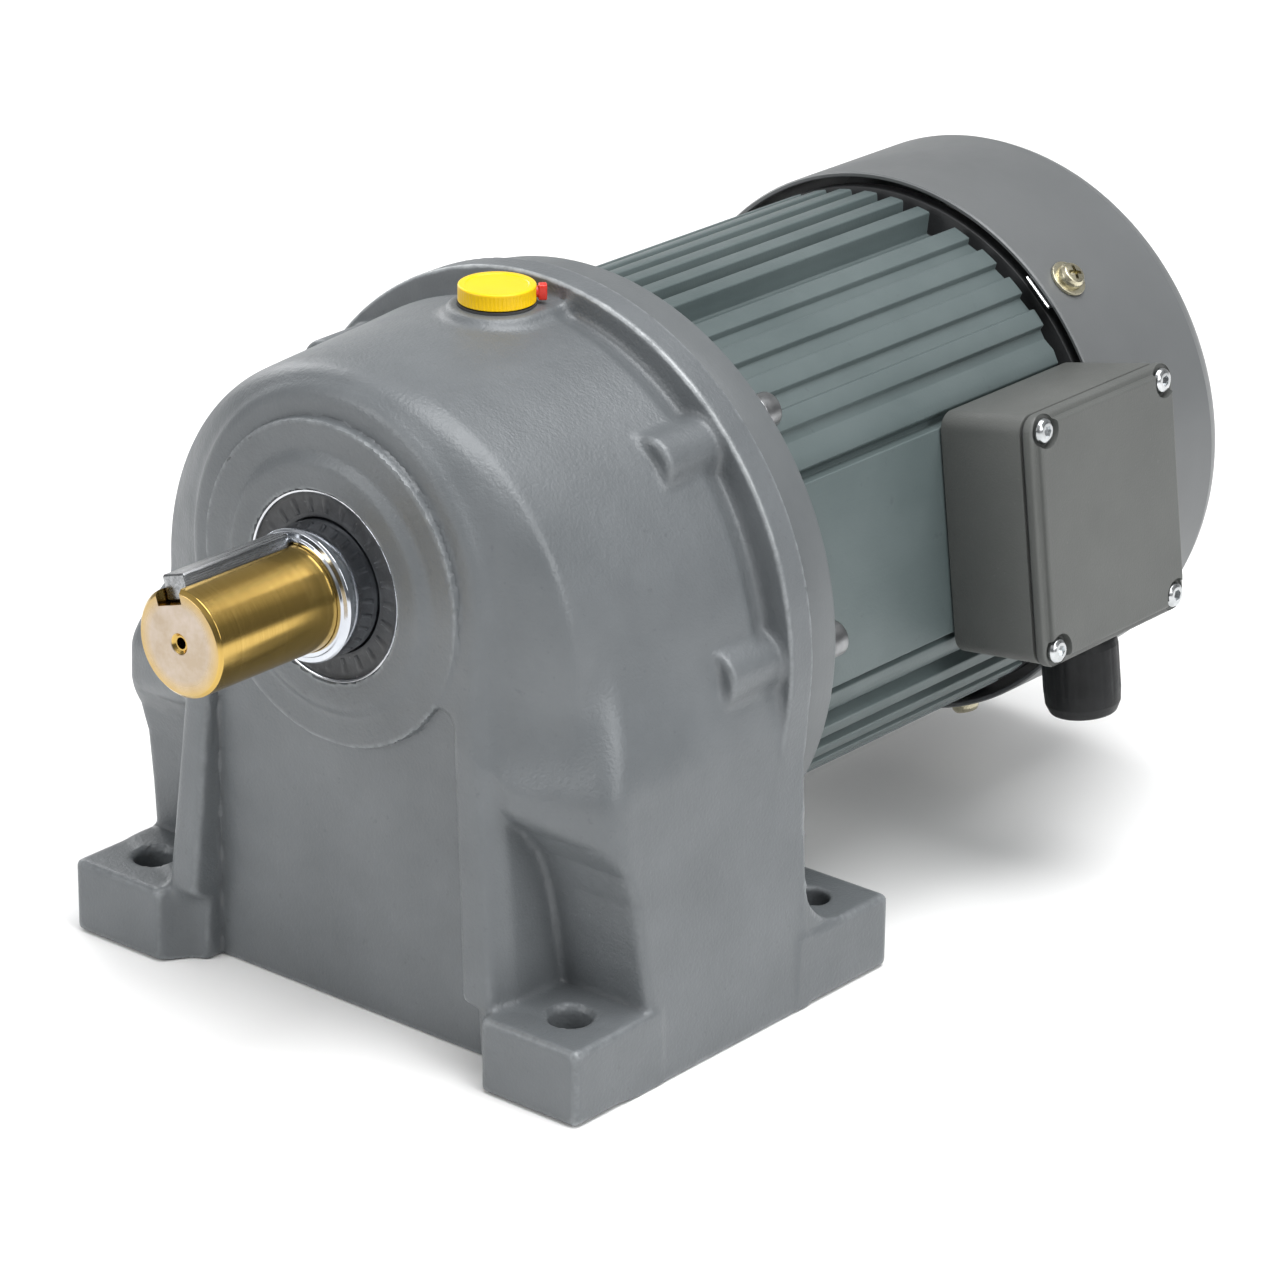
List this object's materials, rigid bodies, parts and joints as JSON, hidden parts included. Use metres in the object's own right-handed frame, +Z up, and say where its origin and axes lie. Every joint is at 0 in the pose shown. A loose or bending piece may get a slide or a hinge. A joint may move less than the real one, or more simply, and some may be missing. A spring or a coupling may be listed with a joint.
{
  "type": "foot-mounted helical gear reducer with motor",
  "caption": "Foot-mounted two-stage helical gear reducer with keyed output shaft, flanged three-phase motor, fan cover and side terminal box.",
  "frame": {"origin": "centre of the foot bolt pattern, on the mounting plane", "axes": "+Z up from the mounting plane; output shaft towards -Y, motor towards +Y; +X towards the terminal box"},
  "size_m": [0.191, 0.3377, 0.1823],
  "materials": {
    "cast_paint": "satin",
    "flange_paint": "satin",
    "frame_paint": "satin",
    "cover_paint": "satin",
    "box_paint": "satin",
    "raw_casting": "satin",
    "shaft_gold": "polished",
    "key_steel": "satin",
    "collar_chrome": "polished",
    "seal_rubber": "satin",
    "gasket_rubber": "matte",
    "bearing_steel": "polished",
    "gear_steel": "satin",
    "lamination_steel": "matte",
    "winding_copper": "satin",
    "plug_yellow": "satin",
    "pin_red": "satin",
    "fan_plastic": "matte",
    "gland_plastic": "satin",
    "block_plastic": "satin",
    "screw_steel": "satin",
    "screw_zinc": "satin",
    "screw_bright": "polished"
  },
  "bodies": {
    "housing": {"gearbox_housing": "cast_paint", "output_oil_seal": "seal_rubber", "output_front_bearing_outer_ring": "bearing_steel", "output_rear_bearing_outer_ring": "bearing_steel", "intermediate_needle_bearing": "bearing_steel", "intermediate_rear_bearing_outer_ring": "bearing_steel", "bearing_bridge": "raw_casting", "oil_filler_plug": "plug_yellow", "oil_plug_gasket": "seal_rubber", "drain_plug": "gear_steel", "flange_gasket": "gasket_rubber", "motor_flange": "flange_paint", "stator_core": "lamination_steel", "stator_winding_front": "winding_copper", "stator_winding_rear": "winding_copper", "motor_oil_seal": "seal_rubber", "motor_front_bearing_outer_ring": "bearing_steel", "motor_rear_bearing_outer_ring": "bearing_steel", "wave_washer": "bearing_steel", "motor_frame": "frame_paint", "rear_end_shield": "raw_casting", "fan_cover": "cover_paint", "terminal_box_body": "box_paint", "terminal_box_gasket": "gasket_rubber", "terminal_box_cover": "box_paint", "terminal_block": "block_plastic", "cable_gland": "gland_plastic", "cable_gland_nut": "gland_plastic", "flange_screw_1": "screw_steel", "flange_screw_2": "screw_steel", "flange_screw_3": "screw_steel", "flange_screw_4": "screw_steel", "flange_screw_5": "screw_steel", "flange_screw_6": "screw_steel", "fan_cover_screw_1": "screw_zinc", "fan_cover_screw_2": "screw_zinc", "fan_cover_screw_3": "screw_zinc", "terminal_box_screw_1": "screw_bright", "terminal_box_screw_2": "screw_bright", "terminal_box_screw_3": "screw_bright", "terminal_box_screw_4": "screw_bright"},
    "output": {"output_shaft": "shaft_gold", "output_shaft_key": "key_steel", "output_gear_key": "key_steel", "output_shaft_collar": "collar_chrome", "output_front_bearing_inner_ring": "bearing_steel", "output_rear_bearing_inner_ring": "bearing_steel", "output_gear": "gear_steel"},
    "intermediate": {"intermediate_shaft": "gear_steel", "intermediate_gear": "gear_steel", "intermediate_gear_key": "key_steel", "intermediate_rear_bearing_inner_ring": "bearing_steel"},
    "rotor": {"rotor_shaft": "bearing_steel", "rotor_core": "lamination_steel", "motor_front_bearing_inner_ring": "bearing_steel", "motor_rear_bearing_inner_ring": "bearing_steel", "cooling_fan": "fan_plastic", "fan_circlip": "bearing_steel"},
    "vent_pin_body": {"vent_pin": "pin_red"}
  },
  "joints": [
    {"name": "rotor_spin", "type": "hinge", "parent": "housing", "child": "rotor", "pos_m": [0, 0, 0.0951], "axis": [0, 1, 0], "continuous": true},
    {"name": "intermediate_spin", "type": "hinge", "parent": "housing", "child": "intermediate", "pos_m": [-0.03694, 0, 0.08261], "axis": [0, 1, 0], "continuous": true},
    {"name": "output_spin", "type": "hinge", "parent": "housing", "child": "output", "pos_m": [0, 0, 0.1192], "axis": [0, 1, 0], "continuous": true},
    {"name": "vent_pin_pull", "type": "slide", "parent": "housing", "child": "vent_pin_body", "axis": [0.7314, 0.682, 0], "range_m": [0, 0.004]}
  ],
  "couplings": [
    {"joint": "intermediate_spin", "follows": "rotor_spin", "ratio": -0.26829},
    {"joint": "output_spin", "follows": "rotor_spin", "ratio": 0.089431}
  ]
}
